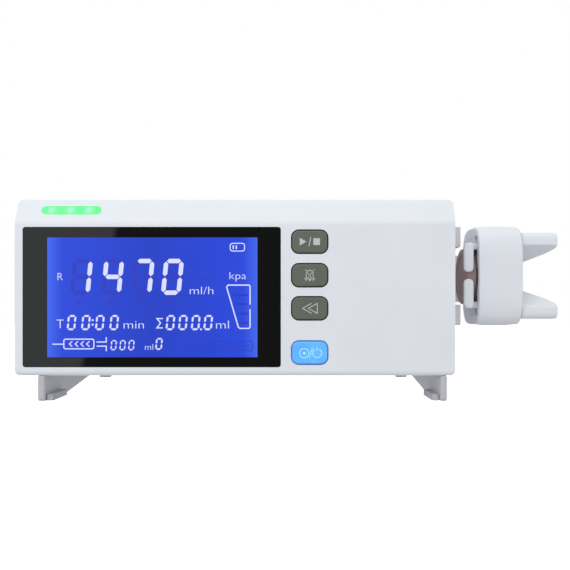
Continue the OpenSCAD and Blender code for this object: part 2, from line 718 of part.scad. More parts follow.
// a grip: claw, pivot and prong in one lever; the lower one is its mirror image
module grip() {
    z = axis_z;
    neck_h = 24.4;
    prong_h = 25.8;
    inner_h = 6.2;
    crease = z + 18.2;
    neck_x = head_x1 + 0.8;
    difference() {
        union() {
            intersection() {
                translate([0, grip_d[1], 0]) rotate([90, 0, 0]) linear_extrude(grip_d[1] - grip_d[0])
                    polygon([
                        [151, z + 9.5], [151, z + 19], [154, z + 21], [163, z + prong_h],
                        [grip_x1 - 0.8, z + prong_h], [grip_x1, z + prong_h - 0.8], [grip_x1, z + 16.5],
                        [grip_x1 - 4, z + 13.8], [head_x1 + 1, z + inner_h], [head_x1 - 1.5, z + inner_h],
                        [head_x1 - 3, z + 7.4], [head_x1 - 6, z + 7.4]
                    ]);
                // rounder inside the head than on the prong
                for (part = [[150, neck_x, neck_h, 9], [neck_x - eps, grip_x1 + past, prong_h, 4]])
                    side_plate([part[0], part[1]]) translate([(grip_d[0] + grip_d[1]) / 2, z])
                        round_rect(grip_d[1] - grip_d[0], 2 * part[2], part[3]);
            }
            // the claw's finger hangs in front of the pressure plate
            front_plate(claw_x, [z + 2, z + 19.5], claw_d, 2.5);
            // its root runs back above the plate and into the head
            slab([claw_x[0] + 2.2, claw_x[1]], [claw_d[0] + 1, claw_root_d[1]], [z + 15.5, z + 19.5]);
            slab([claw_x[0] + 2.2, 153], claw_root_d, [z + 15.5, z + 19.5]);
            // its hook reaches in front of the plunger's rim
            slab([claw_x[0] + 1.4, claw_x[0] + 2.6], [claw_d[0] + 1, 31], [z + 6, z + 13]);
        }
        bar_y(pivot[0], [grip_d[0] - past, grip_d[1] + past], z + pivot[1], pivot_r + run);
        // slanted relief along the prong's inner front edge
        side_plate([neck_x, grip_x1 + past])
            polygon([[grip_d[0] - past, crease], [grip_d[0], crease], [46, z + 8], [46, z], [grip_d[0] - past, z]]);
    }
}

module upper_grip() color("gainsboro") in_case() grip();

module lower_grip() color("gainsboro") in_case()
    translate([0, 0, 2 * axis_z]) mirror([0, 0, 1]) grip();

module grip_pins() color("silver") in_case()
    for (s = [-1, 1])
        bar_y(pivot[0], [head_d[0] + pin_in, head_d[1] - pin_in], axis_z + s * pivot[1], pivot_r);

module grip_spring() color("silver") in_case()
    translate([162, 50, axis_z - 7.4]) coil(2.6, 0.5, 5, 14.8);

// ---- barrel clamp ----

module clamp_arm() color("gainsboro") in_case() {
    knuckle = [clamp_x[0] + 0.5, clamp_x[1] - 0.5];
    difference() {
        union() {
            bar_x(knuckle, clamp_pin_d, clamp_pin_z, knuckle_r);
            slab(knuckle, [34, clamp_pin_d], [clamp_pin_z, clamp_pin_z + knuckle_r]);
            bar_x(knuckle, 34, clamp_pin_z + 2, 2);
            slab(knuckle, [38, 52], [98, clamp_pin_z + eps]);
        }
        bar_x([clamp_x[0] - past, clamp_x[1] + past], clamp_pin_d, clamp_pin_z, clamp_pin_r + run);
        slab([26, 34], [clamp_pin_d - 6, clamp_pin_d + 6], [100, clamp_pin_z + 6]);
    }
}

module clamp_pad() color("dimgray") in_case() difference() {
    slab([clamp_x[0] + 2, clamp_x[1] - 2], [37, 53], [92, 98]);
    bar_x([clamp_x[0], clamp_x[1]], axis_d, 81, 13);
}

module clamp_pin() color("silver") in_case()
    bar_x([clamp_x[0] - wall, clamp_x[1] + wall], clamp_pin_d, clamp_pin_z, clamp_pin_r);

module clamp_spring() color("silver") in_case()
    translate([27, clamp_pin_d, clamp_pin_z]) rotate([0, 90, 0]) coil(2.4, 0.45, 5, 6);

front_shell();
main_shell();
rear_cover();
battery_cover();
left_foot();
right_foot();
foot_pads();
display_window();
lcd_panel();
lcd_backlight();
lcd_frame();
main_board();
key_board();
start_key();
mute_key();
purge_key();
power_key();
status_lens();
status_led_board();
battery_pack();
power_supply();
mains_inlet();
inlet_pins();
data_port();
earth_stud();
speaker();
stepper_motor();
motor_pinion();
screw_gear();
lead_screw();
screw_bearings();
drive_frame();
guide_rods();
nut_carriage();
half_nut();
half_nut_spring();
drive_tube();
tube_bush();
tube_seal();
release_rod();
head_housing();
head_cover();
pressure_plate();
load_cell();
upper_grip();
lower_grip();
grip_pins();
grip_spring();
flange_ears();
clamp_arm();
clamp_pad();
clamp_pin();
clamp_spring();
cover_screws();
frame_screws();
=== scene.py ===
import json
import math

import bmesh
import bpy
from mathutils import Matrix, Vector


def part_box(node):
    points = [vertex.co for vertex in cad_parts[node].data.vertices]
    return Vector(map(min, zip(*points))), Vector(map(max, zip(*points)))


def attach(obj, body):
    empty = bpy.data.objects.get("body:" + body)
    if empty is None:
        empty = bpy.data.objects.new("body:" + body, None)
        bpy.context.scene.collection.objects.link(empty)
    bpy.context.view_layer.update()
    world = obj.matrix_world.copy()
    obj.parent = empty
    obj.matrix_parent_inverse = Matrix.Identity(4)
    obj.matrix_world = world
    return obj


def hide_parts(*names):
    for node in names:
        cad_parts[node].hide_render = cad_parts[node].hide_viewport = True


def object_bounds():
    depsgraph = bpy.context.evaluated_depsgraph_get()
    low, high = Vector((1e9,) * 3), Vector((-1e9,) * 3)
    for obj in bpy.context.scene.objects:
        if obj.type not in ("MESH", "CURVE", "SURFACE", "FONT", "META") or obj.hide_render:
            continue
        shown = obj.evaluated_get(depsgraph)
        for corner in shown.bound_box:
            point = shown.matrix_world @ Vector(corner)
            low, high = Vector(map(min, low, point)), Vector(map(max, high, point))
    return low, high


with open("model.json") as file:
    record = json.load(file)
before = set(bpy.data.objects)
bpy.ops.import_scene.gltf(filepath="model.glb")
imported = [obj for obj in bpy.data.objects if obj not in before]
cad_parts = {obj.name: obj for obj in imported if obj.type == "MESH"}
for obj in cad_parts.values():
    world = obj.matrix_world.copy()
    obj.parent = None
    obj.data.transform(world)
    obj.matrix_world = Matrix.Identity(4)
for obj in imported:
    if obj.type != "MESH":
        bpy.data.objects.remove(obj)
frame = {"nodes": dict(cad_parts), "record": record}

cad_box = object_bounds()
MM = 0.001
WELD = 1e-6        # metres; vertices of a CAD mesh that are nearer become one
BEVEL_ANGLE = 35   # degrees; edges that turn more are broken
NODES = frame["nodes"]
SLOT_OF = {s["node"]: s["material_slot"] for s in frame["record"]["subparts"]}


# ---- small helpers ----

def srgb(r, g, b):
    """An 8-bit screen colour as a linear RGBA."""
    def one(c):
        c /= 255
        return c / 12.92 if c <= 0.04045 else ((c + 0.055) / 1.055) ** 2.4
    return (one(r), one(g), one(b), 1.0)


def shade(colour, factor):
    return tuple(min(1.0, c * factor) for c in colour[:3]) + (1.0,)


def from_bmesh(name, bm):
    mesh = bpy.data.meshes.new(name)
    bm.to_mesh(mesh)
    bm.free()
    obj = bpy.data.objects.new(name, mesh)
    bpy.context.scene.collection.objects.link(obj)
    return obj


def add_bevel(obj, width):
    mod = obj.modifiers.new("bevel", "BEVEL")
    mod.width = width
    mod.segments = 2
    mod.limit_method = "ANGLE"
    mod.angle_limit = math.radians(BEVEL_ANGLE)
    mod.harden_normals = True


def put(obj, body, material, replaces=()):
    """Gives a piece its material, ties it to its body, and hides the CAD parts that it replaces."""
    obj.data.materials.clear()
    obj.data.materials.append(material)
    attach(obj, body)
    if replaces:
        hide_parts(*replaces)


# ---- materials ----

class Nodes:
    """A node tree with short calls for adding nodes and links."""

    def __init__(self, tree, clear=True):
        self.tree = tree
        if clear:
            tree.nodes.clear()

    def add(self, kind, **inputs):
        node = self.tree.nodes.new(kind)
        for key, value in inputs.items():
            if key.startswith("p_"):
                setattr(node, key[2:], value)
            else:
                node.inputs[key.replace("_", " ")].default_value = value
        return node

    def link(self, out, into):
        self.tree.links.new(out, into)

    def noise(self, coords, scale, detail=3.0):
        node = self.add("ShaderNodeTexNoise", Scale=scale, Detail=detail)
        self.link(coords, node.inputs["Vector"])
        return node.outputs["Fac"]

    def span(self, value, low, high, start=0.3, stop=0.7):
        node = self.add("ShaderNodeMapRange")
        for name, number in (("From Min", start), ("From Max", stop), ("To Min", low), ("To Max", high)):
            node.inputs[name].default_value = number
        self.link(value, node.inputs["Value"])
        return node.outputs["Result"]

    def ramp(self, value, *stops):
        node = self.add("ShaderNodeValToRGB")
        ends = node.color_ramp.elements
        while len(ends) < len(stops):
            ends.new(0.5)
        for end, (place, colour) in zip(ends, stops):
            end.position = place
            end.color = colour
        self.link(value, node.inputs["Fac"])
        return node.outputs["Color"]


def principled(material):
    return next(node for node in material.node_tree.nodes if node.type == "BSDF_PRINCIPLED")


def finish(name, colour, rough=0.45, metal=0.0, tone=0.03, rough_span=0.08, grain=1400.0, depth=0.05,
           blotch=35.0):
    """Moulded, painted or metal surface: uneven tone and roughness, and a fine bump."""
    material = bpy.data.materials.new(name)
    material.use_nodes = True
    n = Nodes(material.node_tree)
    out = n.add("ShaderNodeOutputMaterial")
    shader = n.add("ShaderNodeBsdfPrincipled", Metallic=metal)
    coords = n.add("ShaderNodeTexCoord").outputs["Object"]
    patches = n.noise(coords, blotch)
    base = n.ramp(patches, (0.3, shade(colour, 1 - tone)), (0.7, shade(colour, 1 + tone)))
    n.link(base, shader.inputs["Base Color"])
    n.link(n.span(patches, rough - rough_span / 2, rough + rough_span / 2), shader.inputs["Roughness"])
    bump = n.add("ShaderNodeBump", Strength=depth, Distance=BUMP)
    n.link(n.noise(coords, grain, 2.0), bump.inputs["Height"])
    n.link(bump.outputs["Normal"], shader.inputs["Normal"])
    n.link(shader.outputs["BSDF"], out.inputs["Surface"])
    return material


def glowing(name, colour, strength, tone=0.03, rough=0.4, blotch=60.0):
    """A lit surface, a little uneven."""
    material = finish(name, colour, rough=rough, tone=tone, blotch=blotch)
    shader = principled(material)
    base = shader.inputs["Base Color"].links[0].from_socket
    material.node_tree.links.new(base, shader.inputs["Emission Color"])
    shader.inputs["Emission Strength"].default_value = strength
    return material


BUMP = 0.1 * MM  # height that a bump of full strength would have
FINISHES = {
    # moulded housing
    "housing": finish("housing_plastic", srgb(226, 228, 234), rough=0.42, tone=0.012, grain=2600.0,
                      depth=0.08),
    "housing_rear": finish("rear_plastic", srgb(217, 219, 225), rough=0.5, tone=0.015, grain=2200.0,
                           depth=0.12),
    "guide": finish("guide_plastic", srgb(212, 210, 214), rough=0.5, tone=0.02, grain=2200.0, depth=0.1),
    "foot": finish("foot_plastic", srgb(190, 188, 192), rough=0.48, tone=0.02, grain=2200.0, depth=0.12),
    # push plate: its brown paints the shade and reddish reflection that fall on a pale plate between the
    # case and the head
    "boss": finish("plate_painted_shade", srgb(162, 138, 134), rough=0.55, tone=0.06, grain=1600.0, depth=0.15,
                   blotch=120.0),
    "black_plastic": finish("black_plastic", srgb(38, 38, 41), rough=0.5, tone=0.1, grain=1800.0,
                            depth=0.15),
    "white_plastic": finish("acetal", srgb(236, 233, 224), rough=0.4),
    # rubber
    "foot_rubber": finish("foot_rubber", srgb(176, 178, 184), rough=0.75, tone=0.08, grain=900.0,
                          depth=0.25),
    "seal_rubber": finish("seal_rubber", srgb(52, 52, 55), rough=0.7, tone=0.1, grain=900.0, depth=0.25),
    "key_grey": finish("key_rubber", srgb(97, 102, 91), rough=0.5, tone=0.04, grain=1800.0, depth=0.1,
                       blotch=90.0),
    # display
    "window": finish("window_glass", srgb(14, 14, 15), rough=0.025, tone=0.03, rough_span=0.01,
                     depth=0.0),
    "lcd": finish("lcd_glass", srgb(38, 64, 190), rough=0.2, tone=0.05),
    "diffuser": finish("diffuser", srgb(240, 240, 244), rough=0.6),
    # metal
    "steel": finish("steel", srgb(196, 198, 202), rough=0.3, metal=1.0, tone=0.04, blotch=120.0),
    "chrome": finish("chrome", srgb(222, 223, 226), rough=0.12, metal=1.0, tone=0.02, rough_span=0.04,
                     depth=0.02),
    "brass": finish("brass", srgb(212, 175, 98), rough=0.3, metal=1.0, tone=0.05, blotch=120.0),
    "aluminium": finish("aluminium", srgb(202, 204, 207), rough=0.38, metal=1.0, tone=0.03, blotch=150.0),
    # electronics
    "pcb": finish("pcb", srgb(22, 92, 52), rough=0.4, tone=0.15, blotch=400.0),
    "battery": finish("battery_sleeve", srgb(60, 110, 170), rough=0.35, tone=0.06),
    "motor": finish("motor_enamel", srgb(60, 61, 64), rough=0.45, tone=0.08),
}


def recolour(material, colour, strength):
    """Gives a lit surface a glow of another colour than its own."""
    shader = principled(material)
    for link in list(shader.inputs["Emission Color"].links):
        material.node_tree.links.remove(link)
    shader.inputs["Emission Color"].default_value = colour
    shader.inputs["Emission Strength"].default_value = strength


LAMPS = (0.17, 0.48, 0.79)   # places of the lamps, as parts of the lens's width
SPOT = (0.8 * MM, 4.6 * MM)  # a lamp's light fades between these distances


def lens_material(low, high):
    """Green light, brightest over its three lamps."""
    material = glowing("lens_glow", srgb(96, 226, 132), 0.55)
    n = Nodes(material.node_tree, clear=False)
    shader = principled(material)
    coords = n.add("ShaderNodeTexCoord").outputs["Object"]
    middle = (low + high) / 2
    glow = None
    for part in LAMPS:
        spot = n.add("ShaderNodeVectorMath", p_operation="DISTANCE")
        spot.inputs[1].default_value = (low.x + part * (high.x - low.x), middle.y, middle.z)
        n.link(coords, spot.inputs[0])
        near = n.span(spot.outputs["Value"], 1.0, 0.0, *SPOT)
        if glow is None:
            glow = near
        else:
            most = n.add("ShaderNodeMath", p_operation="MAXIMUM")
            n.link(glow, most.inputs[0])
            n.link(near, most.inputs[1])
            glow = most.outputs["Value"]
    tint = n.ramp(glow, (0.0, srgb(74, 222, 112)), (0.55, srgb(112, 246, 146)),
                  (1.0, srgb(196, 255, 206)))
    n.link(tint, shader.inputs["Emission Color"])
    n.link(n.span(glow, 0.45, 0.85, 0.0, 1.0), shader.inputs["Emission Strength"])
    return material


def lcd_material(x0, x1):
    """Backlit blue, brighter towards the left and right edges."""
    material = glowing("lcd_backlit", srgb(12, 16, 60), 0.9)
    n = Nodes(material.node_tree, clear=False)
    shader = principled(material)
    coords = n.add("ShaderNodeTexCoord").outputs["Object"]
    split = n.add("ShaderNodeSeparateXYZ")
    n.link(coords, split.inputs["Vector"])
    off = n.add("ShaderNodeMath", p_operation="SUBTRACT")
    n.link(split.outputs["X"], off.inputs[0])
    off.inputs[1].default_value = (x0 + x1) / 2
    away = n.add("ShaderNodeMath", p_operation="ABSOLUTE")
    n.link(off.outputs["Value"], away.inputs[0])
    edge = n.span(away.outputs["Value"], 0.0, 1.0, 0.0, (x1 - x0) / 2)
    blue = n.ramp(edge, (0.0, srgb(24, 60, 200)), (0.86, srgb(32, 70, 224)), (1.0, srgb(64, 104, 243)))
    n.link(blue, shader.inputs["Emission Color"])
    return material


# ---- flat marks: strokes, digits and icons drawn as thin raised plates ----

MITRE_LEAST = 0.35  # keeps the mitre of a sharp corner short
SLIM = 0.011        # part of a letter's size that is taken off its outline
SLANT = 0.1         # lean of the digits, to the right for each unit up


class Pen:
    """Collects flat shapes in millimetres, x to the right and z up, as one thin mesh."""

    def __init__(self, origin, back_y, thick):
        self.bm = bmesh.new()
        self.origin = origin
        self.back_y = back_y
        self.thick = thick

    def poly(self, points):
        rows = []
        for y in (self.back_y - self.thick, self.back_y):
            rows.append([self.bm.verts.new((self.origin[0] + x * MM, y, self.origin[1] + z * MM))
                         for x, z in points])
        count = len(points)
        self.bm.faces.new(rows[0])
        self.bm.faces.new(rows[1][::-1])
        for i in range(count):
            j = (i + 1) % count
            self.bm.faces.new((rows[0][j], rows[0][i], rows[1][i], rows[1][j]))

    def line(self, a, b, width):
        a, b = Vector(a), Vector(b)
        along = (b - a).normalized()
        side = Vector((-along.y, along.x)) * width / 2
        self.poly([tuple(a - side), tuple(b - side), tuple(b + side), tuple(a + side)])

    def path(self, points, width, closed=False):
        """Mitred strokes through the points."""
        pts = [Vector(p) for p in points]
        count = len(pts)
        left, right = [], []
        for i, p in enumerate(pts):
            back = pts[i] - pts[i - 1] if closed or i else pts[1] - pts[0]
            ahead = pts[(i + 1) % count] - p if closed or i < count - 1 else back
            d0, d1 = back.normalized(), ahead.normalized()
            mean = (d0 + d1).normalized()
            normal = Vector((-mean.y, mean.x))
            grow = width / 2 / max(MITRE_LEAST, normal.dot(Vector((-d0.y, d0.x))))
            left.append(p + normal * grow)
            right.append(p - normal * grow)
        for i in range(count if closed else count - 1):
            j = (i + 1) % count
            self.poly([tuple(right[i]), tuple(right[j]), tuple(left[j]), tuple(left[i])])

    def ring(self, centre, radius, width, start=0, stop=360, steps=32):
        points = []
        full = stop - start >= 360
        for i in range(steps if full else steps + 1):
            a = math.radians(start + (stop - start) * i / steps)
            points.append((centre[0] + radius * math.cos(a), centre[1] + radius * math.sin(a)))
        self.path(points, width, closed=full)

    def dot(self, centre, radius, steps=20):
        self.poly([(centre[0] + radius * math.cos(2 * math.pi * i / steps),
                    centre[1] + radius * math.sin(2 * math.pi * i / steps)) for i in range(steps)])

    def box(self, x0, z0, x1, z1):
        self.poly([(x0, z0), (x1, z0), (x1, z1), (x0, z1)])

    def digit(self, lit, x, z, w, h, t, gap):
        """A seven-segment digit of width w, height h and bar t; lit names its segments, a to g."""
        half = h / 2
        cut = t / 2

        def place(px, pz):
            return (x + px + SLANT * pz, z + pz)

        across = {"a": h - cut, "g": half, "d": cut}
        upright = {"f": (cut, half), "b": (w - cut, half), "e": (cut, 0), "c": (w - cut, 0)}
        for name, pz in across.items():
            if name in lit:
                left, right = cut + gap, w - cut - gap
                self.poly([place(left, pz), place(left + cut, pz - cut), place(right - cut, pz - cut),
                           place(right, pz), place(right - cut, pz + cut), place(left + cut, pz + cut)])
        for name, (px, base) in upright.items():
            if name in lit:
                low = base + (cut if base == 0 else 0) + gap
                top = base + half - (cut if base else 0) - gap
                self.poly([place(px, low), place(px + cut, low + cut), place(px + cut, top - cut),
                           place(px, top), place(px - cut, top - cut), place(px - cut, low + cut)])

    def text(self, body, x, z, size, width=None):
        """Slim letters of a unit; width sets how many millimetres they take."""
        curve = bpy.data.curves.new("unit", "FONT")
        curve.body = body
        curve.size = size
        curve.offset = -SLIM * size
        obj = bpy.data.objects.new("unit", curve)
        bpy.context.scene.collection.objects.link(obj)
        graph = bpy.context.evaluated_depsgraph_get()
        mesh = obj.evaluated_get(graph).to_mesh()
        verts = [(v.co.x, v.co.y) for v in mesh.vertices]
        faces = [list(p.vertices) for p in mesh.polygons]
        left = min(v[0] for v in verts)
        right = max(v[0] for v in verts)
        fit = width / (right - left) if width else 1.0
        for face in faces:
            self.poly([(x + (verts[i][0] - left) * fit, z + verts[i][1]) for i in face])
        bpy.data.objects.remove(obj)
        bpy.data.curves.remove(curve)

    def done(self, name):
        bmesh.ops.remove_doubles(self.bm, verts=self.bm.verts, dist=1e-7)
        bmesh.ops.recalc_face_normals(self.bm, faces=self.bm.faces)
        return from_bmesh(name, self.bm)


LIT = {"0": "abcdef", "1": "bc", "4": "bcfg", "7": "abc", "8": "abcdefg"}  # segments of each digit


# ---- the display ----

LCD_RIM = 3 * MM         # how far the panel runs under the window's edge
GLASS_R = 1.5 * MM       # corner radius of the window
PICTURE_R = 0.3 * MM     # corner radius of the opening that shows the picture
PICTURE_SET = 0.25 * MM  # the picture lies this far behind the window's face
MARK_THICK = 0.06 * MM   # digits and symbols stand off the picture by this much


def round_rect(x0, x1, z0, z1, r, steps=6):
    points = []
    corners = ((x1 - r, z0 + r, 270), (x1 - r, z1 - r, 0), (x0 + r, z1 - r, 90), (x0 + r, z0 + r, 180))
    for cx, cz, start in corners:
        for i in range(steps + 1):
            a = math.radians(start + 90 * i / steps)
            points.append((cx + r * math.cos(a), cz + r * math.sin(a)))
    return points


def plate_with_hole(name, outer, inner, y0, y1):
    """A flat plate between two depths with one hole; both outlines have the same number of points."""
    bm = bmesh.new()
    rings = [[bm.verts.new((x, y, z)) for x, z in outline]
             for y in (y0, y1) for outline in (outer, inner)]
    count = len(outer)
    for i in range(count):
        j = (i + 1) % count
        for a, b in ((0, 1), (1, 3), (3, 2), (2, 0)):
            bm.faces.new((rings[a][i], rings[a][j], rings[b][j], rings[b][i]))
    bmesh.ops.recalc_face_normals(bm, faces=bm.faces)
    return from_bmesh(name, bm)


def make_display():
    low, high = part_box("display_window")
    panel_low, panel_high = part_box("lcd_panel")
    x0, x1 = panel_low.x + LCD_RIM, panel_high.x - LCD_RIM
    z0, z1 = panel_low.z + LCD_RIM, panel_high.z - LCD_RIM
    glass = plate_with_hole("display_glass",
                            round_rect(low.x, high.x, low.z, high.z, GLASS_R),
                            round_rect(x0, x1, z0, z1, PICTURE_R), low.y, high.y)
    add_bevel(glass, 0.15 * MM)
    put(glass, "pump_body", FINISHES["window"], ["display_window"])
    face_y = low.y + PICTURE_SET
    make_picture((x0, x1), (z0, z1), face_y, high.y)
    draw_marks((x0, z0), face_y)


def make_picture(across, up, front_y, back_y):
    """The lit picture between two x and two z: a fine grid that is given a thickness."""
    (x0, x1), (z0, z1) = across, up
    bm = bmesh.new()
    grid = bmesh.ops.create_grid(bm, x_segments=24, y_segments=14, size=0.5)
    for v in grid["verts"]:
        v.co = Vector(((x0 + x1) / 2 + v.co.x * (x1 - x0), front_y,
                       (z0 + z1) / 2 + v.co.y * (z1 - z0)))
    solid = bmesh.ops.extrude_face_region(bm, geom=list(bm.faces))
    for item in solid["geom"]:
        if isinstance(item, bmesh.types.BMVert):
            item.co.y = back_y
    bmesh.ops.recalc_face_normals(bm, faces=bm.faces)
    put(from_bmesh("lcd_picture", bm), "pump_body", lcd_material(x0, x1))


def draw_marks(corner, face_y):
    """Lit marks, and flatter unlit ones; they are laid out in millimetres from the picture's corner."""
    ghosts = Pen(corner, face_y, MARK_THICK / 2)
    marks = Pen(corner, face_y, MARK_THICK)
    draw_rate(marks, ghosts)
    draw_totals(marks)
    draw_syringe_row(marks, ghosts)
    draw_gauge(marks, ghosts)
    lit = glowing("lcd_white", srgb(70, 72, 92), 1.0, tone=0.02)
    recolour(lit, srgb(216, 220, 250), 0.95)
    faint = glowing("lcd_faint", srgb(8, 12, 50), 1.0, tone=0.02)
    recolour(faint, srgb(42, 58, 196), 0.9)
    put(marks.done("lcd_marks"), "pump_body", lit)
    put(ghosts.done("lcd_ghosts"), "pump_body", faint)


def draw_rate(marks, ghosts):
    """The large flow rate with its unit."""
    base, height, width, bar, gap = 34.8, 20.2, 11.1, 2.5, 0.3
    for number, x in zip("1470", (12.6, 30.0, 47.0, 63.4)):
        ghosts.digit(LIT["8"], x, base, width, height, bar, gap)
        marks.digit(LIT[number], x, base, width, height, bar, gap)
        ghosts.poly([(x + 3.2, 32.0), (x + 7.2, 32.0), (x + 5.2, 29.4)])
    marks.text("R", 5.8, 43.0, 6.0)
    marks.text("ml/h", 79.6, 35.2, 6.2, 13.2)
    ghosts.text("l/min", 80.5, 42.8, 5.6, 12.5)


def draw_totals(marks):
    """Running time on the left, total volume on the right."""
    base, height, width, bar, gap = 15.1, 8.5, 4.8, 1.1, 0.28
    marks.text("T", 5.3, 16.2, 7.2)
    for x in (10.8, 18.8, 26.6, 34.6):
        marks.digit(LIT["0"], x, base, width, height, bar, gap)
    for z in (18.2, 20.7):
        marks.box(24.9, z - 0.5, 25.9, z + 0.5)
    marks.text("min", 42.7, 16.0, 6.6, 11.3)
    total_sign = [(64.6, 21.6), (61.3, 21.6), (63.3, 19.1), (61.3, 16.4), (64.6, 16.4)]
    marks.path(total_sign, 0.65)
    for x in (66.0, 73.0, 80.1, 87.1):
        marks.digit(LIT["0"], x, base, width, height, bar, gap)
    marks.box(85.4, 15.1, 86.4, 16.1)
    marks.text("ml", 94.3, 16.0, 6.6, 7.2)


def draw_syringe_row(marks, ghosts):
    """A small syringe, its size, and the volume left."""
    line = 0.65
    marks.line((2.9, 7.3), (8.9, 7.3), line)
    marks.path(round_rect(9.3, 26.1, 4.7, 10.1, 1.0, 3), line, True)
    for i in range(4):
        x = 12.0 + 3.2 * i
        marks.path([(x + 2.0, 8.9), (x + 0.4, 7.4), (x + 2.0, 5.9)], 0.6)
    for z in (8.5, 6.2):
        marks.line((27.6, z), (33.3, z), line)
    marks.line((33.0, 8.5), (33.0, 11.2), line)
    marks.line((33.0, 6.2), (33.0, 3.4), line)
    for x in (35.2, 40.2, 45.1):
        marks.digit(LIT["0"], x, 3.9, 3.3, 5.7, 0.72, gap=0.2)
    marks.text("ml", 54.6, 4.1, 4.8, 4.6)
    marks.digit(LIT["0"], 60.2, 4.1, 3.8, 6.7, 0.9, gap=0.2)
    for i in range(5):
        x = 78.6 + 7.6 * i
        ghosts.path(round_rect(x, x + 5.6, 3.6, 9.0, 1.2, 3), 0.45, True)
        ghosts.line((x + 1.6, 6.3), (x + 4.0, 6.3), 0.5)


def draw_gauge(marks, ghosts):
    """Battery and line pressure."""
    marks.path(round_rect(102.2, 110.2, 59.3, 63.6, 1.2, 3), 0.55, True)
    for x in (103.9, 105.6):
        marks.line((x, 60.4), (x, 62.5), 0.75)
    marks.text("kpa", 101.8, 43.6, 5.8, 9.4)
    line = 0.7
    funnel = [(113.3, 29.4), (113.3, 39.6), (112.6, 40.3), (101.0, 40.3), (100.2, 39.2),
              (106.7, 16.9), (107.6, 16.1), (112.6, 16.1), (113.3, 16.8), (113.3, 26.8)]
    marks.path(funnel, line)
    for i in range(4):
        z = 19.2 + 5.2 * i
        left = 106.8 - 0.29 * (z - 17)
        ghosts.line((left + 1.4, z), (112.0, z), 1.1)


# ---- keys ----

ICON_THICK = 0.08 * MM  # icons stand off a key's top by this much
KEY_GAP = 0.45 * MM     # gap around a key's cap, drawn as a line of painted shade
KEY_RIM = 0.8 * MM      # slanted rim of the cap
KEY_R = 4.0 * MM        # corner radius of the key
KEY_LEAST_R = 1.0 * MM  # corner radius of its smallest outline
KEY_FLANGE = 1.2 * MM   # the key's flange behind the face is wider all round by this much
# the cap: depth behind its top, and inset from the edge of its hole
CAP_STEPS = ((0.0, KEY_GAP + KEY_RIM), (0.1 * MM, KEY_GAP + 0.6 * KEY_RIM), (0.35 * MM, KEY_GAP))
CAP_END = 0.9 * MM      # the cap's sides go this far behind the face
# the skirt: depth behind the face, and inset from the edge of the hole
SKIRT_STEPS = ((0.5 * MM, 0.0), (2.4 * MM, 0.0), (2.9 * MM, -KEY_FLANGE), (3.6 * MM, -KEY_FLANGE))
SKIRT_END = 1.5 * MM    # inset of the skirt's back end


def key_pen(node):
    """A pen whose origin is the middle of the key's top."""
    low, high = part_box(node)
    return Pen(((low.x + high.x) / 2, (low.z + high.z) / 2), low.y + ICON_THICK, ICON_THICK)


def loft(name, rings):
    """Closed outlines of equal length joined one to the next, with both ends filled."""
    bm = bmesh.new()
    rows = [[bm.verts.new((x, y, z)) for x, z in outline] for y, outline in rings]
    count = len(rows[0])
    for one, two in zip(rows, rows[1:]):
        for i in range(count):
            j = (i + 1) % count
            bm.faces.new((one[i], one[j], two[j], two[i]))
    bm.faces.new(rows[0])
    bm.faces.new(rows[-1][::-1])
    bmesh.ops.recalc_face_normals(bm, faces=bm.faces)
    return from_bmesh(name, bm)


def key_cap(node):
    """A key's cap with a slanted rim, and the skirt around and behind it, whose dark colour paints the
    shade in the gap.
    """
    low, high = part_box(node)
    face_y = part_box("display_window")[0].y

    def outline(inset):
        edge = KEY_FLANGE + inset
        r = max(KEY_R - max(inset, 0.0), KEY_LEAST_R)
        return round_rect(low.x + edge, high.x - edge, low.z + edge, high.z - edge, r, 8)

    top_y = low.y + ICON_THICK
    cap = [(top_y + depth, outline(inset)) for depth, inset in CAP_STEPS]
    cap.append((face_y + CAP_END, outline(KEY_GAP)))
    skirt = [(face_y + depth, outline(inset)) for depth, inset in SKIRT_STEPS]
    skirt.append((high.y, outline(SKIRT_END)))
    return loft(node + "_cap", cap), loft(node + "_skirt", skirt)


def make_keys():
    looks = {  # icon, cap and gap; the gap's colour is painted shade, a darker copy of the cap's
        "key_grey": (finish("icon_ink", srgb(188, 194, 190), rough=0.5, tone=0.02),
                     FINISHES["key_grey"],
                     # near-black that paints the shade in the gap around the cap
                     finish("key_gap", srgb(34, 38, 36), rough=0.7, tone=0.05)),
        "key_blue": (glowing("icon_lit", srgb(150, 212, 252), 0.45),
                     glowing("key_lit", srgb(92, 176, 250), 0.16, tone=0.09, blotch=190.0),
                     # a darker, dimmer glowing copy of the key's blue that paints the shade in its gap
                     glowing("key_gap_blue", srgb(40, 120, 205), 0.25)),
    }
    draw = {"start_key": draw_start, "mute_key": draw_mute, "purge_key": draw_purge,
            "power_key": draw_power}
    for node, icon in draw.items():
        slot = SLOT_OF[node]
        ink, top, gap = looks[slot]
        pen = key_pen(node)
        icon(pen)
        put(pen.done(node + "_icon"), node, ink)
        cap, skirt = key_cap(node)
        put(cap, node, top, [node])
        put(skirt, node, gap, [node])


def draw_start(pen):
    """Start and stop: a triangle, a bar and a square."""
    pen.poly([(-5.6, -2.2), (-1.9, 0), (-5.6, 2.2)])
    pen.line((-0.5, -2.6), (0.6, 2.6), 0.45)
    pen.box(2.0, -1.9, 5.7, 1.9)


def draw_mute(pen):
    """A bell crossed out by two strokes."""
    bell = [(-2.7, -2.1), (-1.9, -1.1), (-1.9, 0.9), (-1.3, 2.2), (0, 2.8), (1.3, 2.2), (1.9, 0.9),
            (1.9, -1.1), (2.7, -2.1)]
    pen.path(bell, 0.42, True)
    pen.dot((0, -2.8), 0.5)
    pen.line((-2.5, 3.2), (2.3, -3.3), 0.34)
    pen.line((2.5, 3.2), (-2.3, -3.3), 0.34)


def draw_purge(pen):
    """Two triangles that point to the syringe's outlet."""
    pen.path([(1.0, 2.8), (-4.0, 0), (1.0, -2.8)], 0.45)
    pen.path([(4.2, 2.8), (4.2, -2.8), (-0.8, 0)], 0.45, True)


